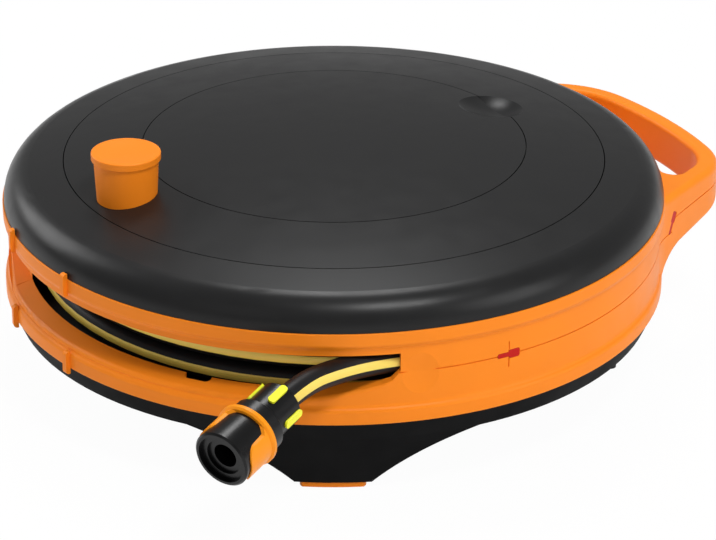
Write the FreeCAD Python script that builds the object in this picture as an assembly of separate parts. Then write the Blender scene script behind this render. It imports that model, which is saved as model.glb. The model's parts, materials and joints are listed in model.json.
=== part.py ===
import FreeCAD, Part
import math
import os

os.makedirs("parts", exist_ok=True)
V = FreeCAD.Vector
UP = V(0, 0, 1)

# A hand-wound garden hose reel that lies flat on three feet.
# Lengths are in millimetres, angles in degrees. Heights are above the floor. Angles are counted
# about the reel's axis from the carry handle, anticlockwise from above.

# Hose and drum
hose_diameter = 16.3
hose_bore = 12.0
turn_gap = 0.5
winding_turns = 3
inner_layers = 3
layer_step = 16.4
drum_radius = 136.5
drum_wall = 4.0
flange_wall = 3.0
flange_overhang = 3.35
drum_screw_count = 6
drum_screw_start = 15.0
drum_boss_sunk = 2.0
drum_rib_height = 12.0
drum_window_start = 30.0
drum_window_share = 0.2
soft_gap = 0.3
overlap = 1.0
tolerance = 0.01
parallel = 0.9
full_turn = 360.0
half_turn = 180.0
tail_gap = 1.3

# Casing, cover and crown
casing_wall = 2.7
tail_wall_gap = 0.65
rim_proud = 2.4
rim_slope = 2.5
rim_round = 2.8
rim_edge_round = 0.8
cover_inset = 1.0
cover_wall = 3.0
cover_edge_radius = 21.0
casing_height = 64.0
seam_rise = 34.5
seam_groove = 0.8
top_rim_depth = 9.0
bottom_rim_depth = 9.5
crown_rise = 41.3
dome_radius = 1104.0
groove_width = 0.7
spigot_depth = 6.0
spigot_wall = 2.8

# Carry handle
handle_reach = 282.0
handle_root_angle = 34.9
handle_corner_angle = 17.0
handle_corner_radius = 60.0
handle_blend_radius = 60.0
handle_root_sunk = 0.3
handle_edge_radius = 5.0
handle_root_drop = 2.0
handle_tip_drop = 8.0
handle_tip_lift = 27.0
handle_knee_reach = 194.0
handle_knee_lift = 19.0
handle_knee_slope = 59.0
handle_knee_run = 16.0
handle_seam_rise = 9.5
handle_split = 6.0
grip_thickness = 14.5
finger_gap_inset = 5.0
finger_end_radius = 8.0
finger_edge_radius = 3.0
fillet_share = 0.45
arc_share = 0.45

# Hose window, counted clockwise from the handle. Each row of the taper at its right end gives the
# angle, the lip's depth, the heights of the lip's inner edge and crest, and the crest's rounding.
window_right = -109.0
window_left = -196.0
window_top = 48.0
lip_inner = 18.5
lip_crest = 14.7
lip_round = 3.6
lip_depth = 16.0
lip_wall = 3.0
window_taper = (
    (-128.0, 16.0, 18.5, 14.7, 3.6),
    (-123.5, 15.5, 20.8, 17.4, 3.3),
    (-119.0, 14.0, 23.2, 20.6, 2.8),
    (-115.0, 11.5, 25.2, 23.6, 2.2),
    (-112.0, 9.0, 27.3, 26.4, 1.5),
    (-110.4, 7.0, 29.8, 29.3, 0.9),
    (-109.0, 6.0, 36.0, 35.8, 0.5),
)
scoop_sweep = 15.0
scoop_share = 0.33
dimple_offset = 13.0
dimple_radius = 14.0
dimple_depth = 1.4
notch_angle = -144.0
notch_width = 18.0
notch_depth = 4.5
notch_round = 3.5

# Seam clips, rim tabs and casing screws
clip_angles = (-90.0, 90.0)
flank_clip_angles = (-32.0, 32.0)
flank_clip_turn = 61.0
flank_clip_rise = 6.8
clip_width = 16.6
clip_height = 6.2
clip_stem_height = 3.4
clip_depth = 1.8
clip_gap = 0.15
witness_height = 18.0
witness_width = 0.8
tab_angles = (170.0, 190.0)
tab_width = 4.0
tab_proud = 3.0
tab_height = 16.0
tab_overlap = 4.0
tab_round = 2.5
tab_gap = 0.4
screw_angles = (-60.0, -35.0, 35.0, 60.0, 85.0)
screw_radius = 2.0
screw_head_radius = 4.2
screw_head_height = 2.6
screw_fit = 0.05
boss_radius = 4.8
boss_setback = 8.4

# Base pan and feet
foot_height = 41.0
pan_rise = 16.0
pan_wall = 3.0
pan_draft = 6.2
pan_chamfer = 5.0
pan_edge_gap = 0.2
pan_edge_lift = 2.0
pan_rib_height = 6.0
pan_ribs = 12
foot_angles = (0.0, 120.0, -120.0)
foot_spread = 94.0
foot_waist = 56.0
foot_waist_drop = 13.0
foot_ankle = 25.0
foot_toe_inset = 15.0
foot_heel_depth = 40.0
foot_heel_flare = 46.0
foot_bend_width = 0.45
foot_bend_height = 0.65
foot_wall = 3.0
pad_half_width = 21.5
pad_height = 3.7
pad_corner = 6.0

# Spindle and water path
post_radius = 15.0
post_bore = 8.0
post_flange_radius = 32.0
post_flange_height = 4.0
running_fit = 0.05
bush_wall = 2.5
hub_wall = 3.5
hub_length = 31.0
washer_height = 3.0
washer_width = 5.0
ring_height = 2.0
ring_groove_depth = 1.4
ring_width = 6.0
post_crown = 2.0
end_float = 0.2
stem_length = 25.0
stem_seal_shares = (0.4, 0.7)
stem_collar_radius = 12.0
elbow_rise = 11.0
elbow_radius = 8.0
elbow_bore = 5.0
elbow_reach = 95.0
elbow_angle = 90.0
barb_length = 15.0
clamp_wall = 1.0
clamp_length = 8.0
seal_wire = 0.85
spigot_radius = 11.5
spigot_rise = 2.0
spindle_screw_ring_radius = 26.0
spindle_screw_angles = (30.0, 150.0, 270.0)
inlet_angle = 60.0
inlet_drop = 19.5
inlet_radius = 10.0
inlet_bore = 6.0
inlet_reach = 172.0
inlet_socket_radius = 13.0
inlet_socket_length = 20.0
nipple_radius = 7.8
nipple_length = 13.0
nipple_neck_radius = 6.6
nipple_neck_length = 5.0
nipple_shoulder_radius = 8.6
nipple_shoulder_length = 12.0
nipple_bore = 4.5
saddle_offset = 120.0
saddle_width = 6.0

# Winding plate, storage cup, lid and knob
plate_radius = 183.9
plate_wall = 3.0
plate_skirt_inset = 5.0
plate_skirt_wall = 3.0
cup_gap = 8.5
cup_wall = 3.0
cup_floor_rise = 3.0
lid_overlap = 6.5
lid_wall = 2.7
lid_skirt_gap = 1.5
lid_skirt_wall = 2.0
lid_skirt_depth = 8.0
cup_flange_width = 10.0
recess_radius = 21.5
recess_depth = 7.0
lid_recess_depth = 4.5
recess_wall = 2.5
knob_angle = 180.0
knob_base_radius = 20.0
knob_top_radius = 21.5
knob_cap_radius = 23.0
knob_cap_height = 4.5
knob_height = 33.6
knob_pocket_gap = 0.6
knob_dish_depth = 1.6
knob_pin_radius = 6.0
knob_pin_head_radius = 9.0
knob_pin_head_height = 3.0
knob_pin_boss = 10.5
knob_head_room = 0.5

# Hose connector, measured along its own axis from the hose end
nut_radius = 15.0
nut_length = 24.3
nut_chamfer = 2.0
nut_thread_radius = 12.0
hose_insert = 10.0
grip_count = 5
grip_length = 17.0
grip_width = 5.2
grip_sunk = 1.2
grip_proud = 1.4
grip_start = 1.8
grip_turn = 68.0
grip_round_share = 0.9
neck_radius = 18.25
neck_length = 10.2
neck_chamfer = 0.9
barrel_radius = 12.0
sleeve_start = 35.1
sleeve_length = 30.5
sleeve_waist = 18.05
sleeve_radius = 19.2
collar_radius = 21.3
collar_width = 4.8
collar_room = 3.8
collar_chamfer = 1.2
tongue_proud = 0.8
tongue_half_width = 13.4
tongue_flare = 4.0
tongue_reach = 20.9
tongue_corner = 8.0
tongue_turn = -16.5
mouth_radius = 16.2
mouth_depth = 3.0
mouth_recess = 5.0
mouth_chamfer = 1.2
spring_wire = 1.2
spring_turns = 4
spring_pocket = 2.6
spring_seat = 46.5
spring_housing_wall = 1.8
connector_bore = 8.1
connector_bore_length = 30.0
claw_width = 6.0
claw_length = 8.0
claw_position = 50.0

# Route of the hose tail: angle about the reel's axis, distance from it, height.
# It leaves the wound hose behind the casing, comes out of the window and turns away.
tail_route = (
    (-72.0, 212.2, 97.0),
    (-86.0, 213.5, 96.7),
    (-100.0, 213.3, 96.0),
    (-112.5, 213.0, 95.2),
    (-119.1, 224.4, 95.6),
    (-124.69, 245.7, 96.4),
)
connector_turn = -154.3
connector_dip = 10.5
nut_run = 20.0

# Start of the outer layer on the drum and the ramps at its two ends
winding_start = -75.8
ramp_radius = 120.0
ramp_turn = 55.0

# Sizes that follow from those above
hose_radius = hose_diameter / 2
turn_pitch = hose_diameter + turn_gap
drum_height = winding_turns * turn_pitch + hose_diameter + 4 * soft_gap
core_inside = drum_radius + soft_gap
core_outside = core_inside + inner_layers * layer_step
winding_radius = core_outside + soft_gap + hose_radius
winding_outside = winding_radius + hose_radius
flange_radius = winding_outside + flange_overhang
tail_radius = winding_outside + tail_gap + hose_radius
casing_inside = tail_radius + hose_radius + tail_wall_gap
casing_outside = casing_inside + casing_wall
rim_radius = casing_outside + rim_proud
cover_radius = rim_radius - cover_inset

pan_bottom = foot_height
pan_floor = pan_bottom + pan_wall
casing_bottom = pan_bottom + pan_rise
casing_top = casing_bottom + casing_height
seam = casing_bottom + seam_rise
handle_seam = seam + handle_seam_rise
split_radius = rim_radius + handle_split
crown_height = casing_top + crown_rise
dome_centre = crown_height - dome_radius

washer_bottom = pan_floor + post_flange_height
hub_bottom = washer_bottom + washer_height + end_float
hub_top = hub_bottom + hub_length
ring_bottom = hub_top + end_float
post_top = ring_bottom + ring_height + post_crown
hub_bore = post_radius + running_fit + bush_wall
hub_radius = hub_bore + hub_wall
lower_flange_bottom = casing_bottom + flange_wall
lower_flange_top = lower_flange_bottom + flange_wall
upper_flange_bottom = lower_flange_top + drum_height
upper_flange_top = upper_flange_bottom + flange_wall
elbow_height = post_top + elbow_rise
cup_bottom = elbow_height + hose_radius + clamp_wall + soft_gap
drum_inside = drum_radius - drum_wall
cup_radius = drum_inside - cup_gap
lid_radius = cup_radius + lid_overlap
knob_orbit = (lid_radius + plate_radius) / 2
boss_orbit = casing_inside - boss_setback
inlet_height = pan_bottom - inlet_drop
pan_top_radius = cover_radius + pan_edge_gap
pan_edge = pan_top_radius - pan_draft
foot_toe = pan_edge - foot_toe_inset
winding_bottom = lower_flange_top + 2 * soft_gap + hose_radius
spigot_top = washer_bottom + spigot_rise
stem_seal_radius = post_bore - 2 * running_fit - seal_wire
inlet_seal_radius = spigot_radius - seal_wire
inlet_seal_height = (pan_floor + spigot_top) / 2
sleeve_end = sleeve_start + sleeve_length
barrel_end = sleeve_end - mouth_recess
connector_seal_radius = connector_bore + seal_wire + screw_fit
connector_seal_place = barrel_end - connector_bore_length + 3 * seal_wire
axis_shift = -(handle_reach - rim_radius) / 2


def polar(radius, angle, height=0.0):
    """A point from its distance to the axis, its angle and its height."""
    turn = math.radians(angle)
    return V(radius * math.cos(turn), radius * math.sin(turn), height)


def turned(shape, angle):
    """A copy of the shape, turned about the reel's axis."""
    return shape.copy().rotate(V(0, 0, 0), UP, angle)


def disc(radius, bottom, top, at=V(0, 0, 0)):
    """An upright cylinder."""
    return Part.makeCylinder(radius, top - bottom, V(at.x, at.y, bottom))


def tube(inner, outer, bottom, top, at=V(0, 0, 0)):
    """An upright tube."""
    return disc(outer, bottom, top, at).cut(disc(inner, bottom - overlap, top + overlap, at))


def spun(outline, start=0.0, sweep=full_turn):
    """A closed outline of (radius, height) points, spun about the reel's axis."""
    points = [V(radius, 0, height) for radius, height in outline]
    face = Part.Face(Part.makePolygon(points + points[:1]))
    return turned(face.revolve(V(0, 0, 0), UP, sweep), start)


def dome_height(radius, depth=0.0):
    """Height of the crown, or of a surface at a depth below it."""
    return dome_centre + math.sqrt((dome_radius - depth) ** 2 - radius ** 2)


def dome_band(inner, outer, top, bottom):
    """A ring or disc of the crown between two depths below its surface."""
    middle = (inner + outer) / 2

    def arc(start, end, depth):
        ends = [V(r, 0, dome_height(r, depth)) for r in (start, middle, end)]
        return Part.Arc(*ends).toShape()

    upper = arc(inner, outer, top)
    lower = arc(outer, inner, bottom)
    side = Part.makeLine(upper.lastVertex(True).Point, lower.firstVertex(True).Point)
    axis_side = Part.makeLine(lower.lastVertex(True).Point, upper.firstVertex(True).Point)
    face = Part.Face(Part.Wire([upper, side, lower, axis_side]))
    return face.revolve(V(0, 0, 0), UP, full_turn)


def ring_of(shape, count, start=0.0):
    """Copies of a shape spread evenly about the axis."""
    return [turned(shape, start + full_turn * i / count) for i in range(count)]


def joined(shapes):
    """One solid from shapes that meet."""
    whole = shapes[0]
    for shape in shapes[1:]:
        whole = whole.fuse(shape)
    return whole.removeSplitter()


def without(shape, tools):
    """The shape with each tool cut away."""
    for tool in tools:
        shape = shape.cut(tool)
    return shape


def corner_arc(start, corner, end):
    """The arc that leaves start towards corner and reaches end, both as far from the corner."""
    middle = (start + end) * 0.5
    half = (end - start).Length / 2
    rise = corner - middle
    lean = math.atan2(rise.Length, half)
    apex = middle + rise * (math.tan(lean / 2) * half / rise.Length)
    return Part.Arc(start, apex, end).toShape()


def helix_edges(radius, pitch, turns, start_angle, bottom):
    """A helix that climbs clockwise, as quarter turns of two arcs that meet in a common tangent."""
    quarter = -math.pi / 2
    slope = pitch / (2 * math.pi)
    first = math.radians(start_angle)

    def point(turn):
        return V(radius * math.cos(turn), radius * math.sin(turn), bottom + slope * (first - turn))

    def heading(turn):
        return V(radius * math.sin(turn), -radius * math.cos(turn), slope).normalize()

    edges = []
    for i in range(int(round(turns * 4))):
        a = first + quarter * i
        b = a + quarter
        reach = handle_length(point(b) - point(a), heading(a), heading(b))
        corner_a = point(a) + heading(a) * reach
        corner_b = point(b) - heading(b) * reach
        middle = (corner_a + corner_b) * 0.5
        edges.append(corner_arc(point(a), corner_a, middle))
        edges.append(corner_arc(middle, corner_b, point(b)))
    ends = (point(first), heading(first), point(b), heading(b))
    return edges, ends


def handle_length(chord, leave, arrive):
    """Handle length of a two-arc join, where both handles together equal the middle run."""
    bend = 2 * (1 - leave.dot(arrive))
    along = chord.dot(leave + arrive)
    return (math.sqrt(along ** 2 + bend * chord.dot(chord)) - along) / bend


def pipe(edges, radius):
    """A round solid swept along joined edges."""
    path = Part.Wire(edges)
    first = path.Edges[0]
    start = first.valueAt(first.FirstParameter)
    heading = first.tangentAt(first.FirstParameter)
    section = Part.Wire(Part.makeCircle(radius, start, heading))
    return path.makePipeShell([section], True, False)


def placed_box(radial, lateral, upright, at=V(0, 0, 0), angle=0.0):
    """A box given by its (low, high) spans outward, sideways and up from a point."""
    size = [span[1] - span[0] for span in (radial, lateral, upright)]
    box = Part.makeBox(*size, V(radial[0], lateral[0], upright[0]))
    box.rotate(V(0, 0, 0), UP, angle)
    box.translate(at)
    return box


def upright_edges(shape):
    """The shape's edges that run straight up."""
    return [e for e in shape.Edges if abs(abs(e.tangentAt(e.FirstParameter).z) - 1) < 1e-6
            and len(e.Vertexes) == 2]


def edges_along(shape, direction):
    """The shape's edges that start out along a direction."""
    return [e for e in shape.Edges if abs(e.tangentAt(e.FirstParameter).dot(direction)) > parallel]


def flat_edges(shape, keep):
    """The shape's edges that aren't upright and whose middle passes a test."""
    upright = {e.hashCode() for e in upright_edges(shape)}
    return [e for e in shape.Edges if e.hashCode() not in upright and keep(edge_middle(e))]


def edge_middle(edge):
    """The point halfway along an edge."""
    return edge.valueAt((edge.FirstParameter + edge.LastParameter) / 2)


# Carry handle

def handle_side():
    """The straight flank of the handle: its root, its direction and its outward normal."""
    root = polar(rim_radius, handle_root_angle)
    along = (polar(handle_reach, handle_corner_angle) - root).normalize()
    return root, along, V(-along.y, along.x, 0)


def handle_half(inset):
    """Half the handle seen from above, drawn in by an inset: the ends of its blend, flank and corner."""
    root, along, outward = handle_side()
    offset = root.dot(outward)
    swing = casing_outside + handle_blend_radius - handle_root_sunk
    lever = handle_reach - handle_corner_radius

    def centre(distance, reach):
        return outward * distance + along * math.sqrt(reach ** 2 - distance ** 2)

    blend = handle_blend_radius + inset
    corner = handle_corner_radius - inset
    blend_centre = centre(offset + handle_blend_radius, swing)
    corner_centre = centre(offset - handle_corner_radius, lever)
    towards = blend_centre * (-1 / swing)
    away = corner_centre * (1 / lever)
    return [blend_centre + towards * blend, blend_centre + (towards - outward).normalize() * blend,
            blend_centre - outward * blend, corner_centre + outward * corner,
            corner_centre + (outward + away).normalize() * corner, corner_centre + away * corner]


def handle_plan(inset):
    """The handle seen from above, drawn in by an inset."""
    edges = []
    halves = [handle_half(inset)]
    halves.append([V(p.x, -p.y, 0) for p in halves[0]])
    for root, blended, start, end, rounded, tip in halves:
        edges += [Part.Arc(root, blended, start).toShape(), Part.makeLine(start, end),
                  Part.Arc(end, rounded, tip).toShape()]
    (root, tip), (other_root, other_tip) = [(half[0], half[-1]) for half in halves]
    edges += [Part.Arc(tip, V(handle_reach - inset, 0, 0), other_tip).toShape(),
              Part.makeLine(other_root, root)]
    return Part.Face(Part.Wire(Part.__sortEdges__(edges)))


def handle_prism(inset, bottom, top):
    """The drawn-in handle outline between two heights."""
    face = handle_plan(inset)
    face.translate(V(0, 0, bottom))
    return face.extrude(V(0, 0, top - bottom))


def handle_taper():
    """The handle's side view, thinner towards the grip, its underside curving up from the casing."""
    knee = V(handle_knee_reach, 0, casing_bottom + handle_knee_lift)
    tip_low = V(handle_reach, 0, casing_bottom + handle_tip_lift)
    slope = math.radians(handle_knee_slope)
    down = V(-math.cos(slope), 0, -math.sin(slope))
    out = (tip_low - knee).normalize()
    bend_start = knee + down * handle_knee_run
    bend_end = knee + out * handle_knee_run
    foot = knee + down * casing_height
    far_low = tip_low + out * casing_height
    fall = (handle_tip_drop - handle_root_drop) / (handle_reach - handle_knee_reach)
    root_top = casing_top - handle_root_drop
    far_top = V(far_low.x, 0, root_top - fall * (far_low.x - handle_knee_reach))
    near_top = V(foot.x, 0, root_top - fall * (foot.x - handle_knee_reach))
    corners = [bend_end, far_low, far_top, near_top, foot, bend_start]
    edges = [Part.makeLine(a, b) for a, b in zip(corners, corners[1:])]
    face = Part.Face(Part.Wire(edges + [corner_arc(bend_start, knee, bend_end)]))
    face.translate(V(0, -handle_reach, 0))
    return face.extrude(V(0, 2 * handle_reach, 0))


def finger_gap():
    """The hole that the fingers go through."""
    inner = rim_radius + finger_gap_inset
    depth = handle_reach - grip_thickness - inner
    gap = handle_prism(grip_thickness, 0, casing_top).cut(disc(inner, -overlap, casing_top + overlap))
    ends = [e for e in upright_edges(gap) if abs(math.hypot(*edge_middle(e)[:2]) - inner) < tolerance]
    return gap.makeFillet(min(finger_end_radius, fillet_share * depth), ends)


def handle_block():
    """The closed loop of the handle, both halves in one."""
    block = handle_prism(0, casing_bottom - casing_height, casing_top).common(handle_taper())

    def outside(point):
        return math.hypot(point.x, point.y) > rim_radius

    block = block.makeFillet(handle_edge_radius, flat_edges(block, outside))
    block = block.cut(finger_gap())
    reach_in = handle_plan(grip_thickness - finger_gap_inset / 2)

    def around_gap(point):
        flat = V(point.x, point.y, 0)
        clear = flat.Length > rim_radius + finger_gap_inset / 2
        return clear and reach_in.isInside(flat, tolerance, True)

    block = block.makeFillet(finger_edge_radius, flat_edges(block, around_gap))
    return block.common(tube(casing_inside + casing_wall / 2, handle_reach * 2, casing_bottom, casing_top))


# Casing

def window_section(angle, inner, heights, rounding, top):
    """An upright section of the hose window, its lower lip rounded where it meets the wall."""
    inner_height, crest_height = heights
    outer = rim_radius + lip_depth
    low = V(inner, 0, casing_bottom + inner_height)
    crest = V(casing_outside, 0, casing_bottom + crest_height)
    along = (low - crest).normalize()
    run = rounding / math.tan(along.getAngle(UP * -1) / 2)
    start = crest + along * run
    end = crest - UP * run
    corners = [end, V(outer, 0, end.z), V(outer, 0, top), V(inner, 0, top), low, start]
    edges = [corner_arc(start, crest, end)]
    edges += [Part.makeLine(a, b) for a, b in zip(corners, corners[1:])]
    return turned(Part.Wire(edges), angle)


def window_cutters():
    """The hose window: its long slot, tapered end, left scoop, the dimple by the exit and the notch."""
    top = casing_bottom + window_top
    inner = rim_radius - lip_depth
    heights = (lip_inner, lip_crest)
    opening = window_section(window_left, inner, heights, lip_round, top)
    slot = Part.Face(opening).revolve(V(0, 0, 0), UP, window_taper[0][0] - window_left)
    taper = Part.makeLoft([window_section(angle, rim_radius - depth, (low, crest), rounding, top)
                           for angle, depth, low, crest, rounding in window_taper], True, True)
    middle = (lip_crest + window_top) / 2
    fade = scoop_share * (window_top - lip_crest) / 2
    shallow = casing_outside - witness_width / 2
    closed = window_section(window_left - scoop_sweep, shallow, (middle - fade, middle - fade),
                            witness_width / 8, casing_bottom + middle + fade)
    scoop = Part.makeLoft([closed, opening], True, True)
    dish = (dimple_radius ** 2 + dimple_depth ** 2) / (2 * dimple_depth)
    dimple_angle = window_right + math.degrees(dimple_offset / casing_outside)
    dimple = Part.makeSphere(dish, polar(casing_outside - dimple_depth + dish, dimple_angle,
                                         casing_bottom + middle + dimple_depth))
    notch = placed_box((-lip_wall, notch_depth), (-notch_width / 2, notch_width / 2),
                       (-2 * lip_wall, 2 * lip_wall), V(inner, 0, casing_bottom + lip_inner), 0.0)
    ends = [e for e in upright_edges(notch) if edge_middle(e).x > inner]
    notch = turned(notch.makeFillet(notch_round, ends), notch_angle)
    return [slot, taper, scoop, dimple, notch]


def lip_section(angle, depth, heights):
    """A section of the window's inward lower lip, rooted in the casing's wall."""
    inner_height, crest_height = heights
    root = casing_inside + casing_wall / 2
    inner = rim_radius - depth
    points = [V(root, 0, casing_bottom + crest_height), V(inner, 0, casing_bottom + inner_height),
              V(inner, 0, casing_bottom + inner_height - lip_wall),
              V(root, 0, casing_bottom + crest_height - lip_wall)]
    return turned(Part.makePolygon(points + points[:1]), angle)


def window_lips():
    """The inward lower lip of the window and the block that its left scoop is cut from."""
    inner = rim_radius - lip_depth
    root = casing_inside + casing_wall / 2
    top = casing_bottom + window_top + lip_wall
    low = casing_bottom + lip_crest - lip_wall
    scoop_left = window_left - scoop_sweep
    shelf = Part.Face(lip_section(scoop_left, lip_depth, (lip_inner, lip_crest)))
    shelf = shelf.revolve(V(0, 0, 0), UP, window_taper[0][0] - scoop_left)
    taper = Part.makeLoft([lip_section(angle, depth, (low_edge, crest))
                           for angle, depth, low_edge, crest, rounding in window_taper], True, True)
    block = spun([(root, low), (root, top), (inner, top), (inner, low)], scoop_left, scoop_sweep)
    return [shelf, taper, block]


def clip_place(angle):
    """A point of the casing's outside by the seam, the way that it faces there and a clip's turn."""
    if angle in clip_angles:
        return polar(casing_outside, angle, seam), angle, 0.0
    root, along, outward = handle_side()
    ray = polar(1.0, abs(angle))
    run = (root.y * ray.x - root.x * ray.y) / (along.x * ray.y - along.y * ray.x)
    point = root + along * run
    facing = math.degrees(math.atan2(outward.y, outward.x))
    return (V(point.x, math.copysign(point.y, angle), seam + flank_clip_rise),
            math.copysign(facing, angle), math.copysign(flank_clip_turn, angle))


def clip_block(angle, depth, proud, gap):
    """A key-shaped block on the seam, sunk into the casing: a slim stem with a wider head."""
    at, facing, turn = clip_place(angle)
    half = clip_width / 2 - gap

    def bar(left, right, height):
        half_height = height / 2 - gap
        box = placed_box((-depth, proud), (left, right), (-half_height, half_height))
        return box.makeFillet(height / 4, edges_along(box, V(1, 0, 0)))

    stem = bar(-half, half / 2, clip_stem_height)
    block = stem.fuse(bar(gap, half, clip_height)).removeSplitter()
    block.rotate(V(0, 0, 0), V(1, 0, 0), -turn)
    block.rotate(V(0, 0, 0), UP, facing)
    block.translate(at)
    return block


def clip_cutters():
    """The pocket of each seam clip and the thin upright line across it."""
    tools = []
    for angle in clip_angles + flank_clip_angles:
        tools.append(clip_block(angle, clip_depth, clip_depth, 0.0))
    for angle in clip_angles:
        at, facing, turn = clip_place(angle)
        tools.append(placed_box((-witness_width, clip_depth), (-witness_width / 2, witness_width / 2),
                                (-witness_height / 2, witness_height / 2), at, facing))
    return tools


def seam_cutter():
    """The shallow groove along the outside of the seam, which steps up beside the handle."""
    half = seam_groove / 2
    tools = []
    for height, inner, outer in ((seam, casing_outside, split_radius),
                                 (handle_seam, split_radius, handle_reach * 2)):
        skin = handle_prism(-seam_groove, height - half, height + half)
        skin = skin.cut(handle_prism(seam_groove, height - seam_groove, height + seam_groove))
        tools.append(skin.common(tube(inner, outer, height - seam_groove, height + seam_groove)))
    around = tube(casing_outside - seam_groove, rim_radius + seam_groove, seam - half, seam + half)
    return tools + [around.cut(handle_prism(0, seam - seam_groove, seam + seam_groove))]


def screw_columns(bottom, top):
    """The posts inside the casing that the casing screws run in."""
    columns = []
    for angle in screw_angles:
        at = polar(boss_orbit, angle)
        columns.append(disc(boss_radius, bottom, top, at))
        columns.append(placed_box((0, boss_setback + casing_wall / 2), (-screw_radius, screw_radius),
                                  (bottom + spigot_depth + overlap, top), at, angle))
    return columns


def screw_holes():
    """The holes of the casing screws."""
    top = casing_top - top_rim_depth
    return [disc(screw_radius + screw_fit, 0, top, polar(boss_orbit, a)) for a in screw_angles]


def rim_tabs():
    """The small feet on both rims, for standing the reel on edge."""
    tabs = []
    spans = ((casing_top + tab_overlap - tab_height, casing_top + tab_overlap),
             (casing_bottom - tab_overlap, casing_bottom - tab_overlap + tab_height))
    for low, high in spans:
        tab = placed_box((cover_radius + tab_gap, rim_radius + tab_proud), (-tab_width / 2, tab_width / 2),
                         (low, high))
        outer = [e for e in edges_along(tab, V(0, 1, 0)) if edge_middle(e).x > rim_radius]
        tabs += [turned(tab.makeFillet(tab_round, outer), a) for a in tab_angles]
    return tabs


def outer_circles(ring, heights):
    """The circles on the outside of the casing's ring at the given heights."""
    circles = []
    for edge in ring.Edges:
        point = edge.Vertexes[0].Point
        outside = math.hypot(point.x, point.y) > casing_inside + casing_wall / 2
        if outside and len(edge.Vertexes) == 1 and any(abs(point.z - h) < tolerance for h in heights):
            circles.append(edge)
    return circles


def casing_ring():
    """The round wall of the casing, with its proud upper and lower rims."""
    low_rim = casing_bottom + bottom_rim_depth
    high_rim = casing_top - top_rim_depth
    bends = (low_rim, low_rim + rim_slope, high_rim - rim_slope, high_rim)
    ring = spun([(casing_inside, casing_bottom), (rim_radius, casing_bottom), (rim_radius, bends[0]),
                 (casing_outside, bends[1]), (casing_outside, bends[2]),
                 (rim_radius, bends[3]), (rim_radius, casing_top), (casing_inside, casing_top)])
    ring = ring.makeFillet(rim_round, outer_circles(ring, bends))
    return ring.makeFillet(rim_edge_round, outer_circles(ring, (casing_bottom, casing_top)))


def whole_casing():
    """Both casing halves and the handle in one."""
    columns = screw_columns(casing_bottom, casing_top - bottom_rim_depth)
    wall = without(joined([casing_ring()] + window_lips()), window_cutters())
    body = joined([wall, handle_block()] + columns + rim_tabs())
    return without(body, clip_cutters() + seam_cutter() + screw_holes())


def casing_halves(casing):
    """The upper and the lower casing half, parted on a seam that steps up at the handle."""
    step = tube(split_radius, handle_reach * 2, seam, handle_seam)
    upper = casing.common(disc(handle_reach * 2, seam, crown_height)).cut(step)
    return upper, casing.cut(upper)


def casing_clips():
    """The four red seam clips."""
    return Part.makeCompound([clip_block(a, clip_depth, -clip_gap, clip_gap) for a in clip_angles + flank_clip_angles])


def casing_screws():
    """The long screws that clamp the pan and both casing halves."""
    screws = []
    for angle in screw_angles:
        at = polar(boss_orbit, angle)
        head = disc(screw_head_radius, pan_bottom - screw_head_height, pan_bottom, at)
        shank = disc(screw_radius, pan_bottom, casing_top - top_rim_depth - 2 * screw_radius, at)
        screws.append(head.fuse(shank).removeSplitter())
    return Part.makeCompound(screws)


# Top cover, winding plate, storage cup, lid

def cover_shoulder(depth):
    """Centre and ends of the rounded shoulder at a depth below the cover's skin."""
    centre_radius = cover_radius - cover_edge_radius
    lever = dome_radius - cover_edge_radius
    centre_height = dome_centre + math.sqrt(lever ** 2 - centre_radius ** 2)
    radius = cover_edge_radius - depth
    lean = math.asin(centre_radius / lever)

    def point(turn):
        return V(centre_radius + radius * math.sin(turn), 0, centre_height + radius * math.cos(turn))

    return point, lean


def top_cover():
    """The fixed black ring outside the outer groove."""
    inner = plate_radius + groove_width / 2
    lip = inner + cover_wall
    point, lean = cover_shoulder(0.0)
    inside = cover_shoulder(cover_wall)[0]
    quarter = math.pi / 2
    start = V(inner, 0, dome_height(inner))
    half = (inner + point(lean).x) / 2
    skirt = V(cover_radius, 0, casing_top)
    spigot_out = casing_inside - soft_gap
    spigot_in = spigot_out - spigot_wall
    shoulder_radius = cover_edge_radius - cover_wall
    turn_in = math.asin((spigot_in - cover_radius + cover_edge_radius) / shoulder_radius)
    lip_top = V(lip, 0, dome_height(lip, cover_wall))
    half_in = (lip + inside(lean).x) / 2
    path = [
        Part.Arc(start, V(half, 0, dome_height(half)), point(lean)).toShape(),
        Part.Arc(point(lean), point((lean + quarter) / 2), point(quarter)).toShape(),
        Part.makeLine(point(quarter), skirt),
    ]
    corners = [skirt, V(spigot_out, 0, casing_top), V(spigot_out, 0, casing_top - spigot_depth),
               V(spigot_in, 0, casing_top - spigot_depth), inside(turn_in)]
    path += [Part.makeLine(a, b) for a, b in zip(corners, corners[1:])]
    path += [
        Part.Arc(inside(turn_in), inside((turn_in + lean) / 2), inside(lean)).toShape(),
        Part.Arc(inside(lean), V(half_in, 0, dome_height(half_in, cover_wall)), lip_top).toShape(),
    ]
    foot = lip_top.z - cover_wall
    corners = [lip_top, V(lip, 0, foot), V(inner, 0, foot), start]
    path += [Part.makeLine(a, b) for a, b in zip(corners, corners[1:])]
    return Part.Face(Part.Wire(path)).revolve(V(0, 0, 0), UP, full_turn)


def recess_ball(depth, wall=0.0):
    """The ball that presses the finger recess into the crown, centred on the inner groove."""
    radius = (recess_radius ** 2 + depth ** 2) / (2 * depth)
    centre = V(lid_radius, 0, dome_height(lid_radius) - depth + radius)
    return Part.makeSphere(radius + wall, centre)


def recess_bowl(depth, inner, outer):
    """The wall of the finger recess below the crown, between two radii."""
    below = dome_band(inner, outer, 0.0, depth + 2 * recess_wall)
    return recess_ball(depth, recess_wall).common(below)


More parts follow.
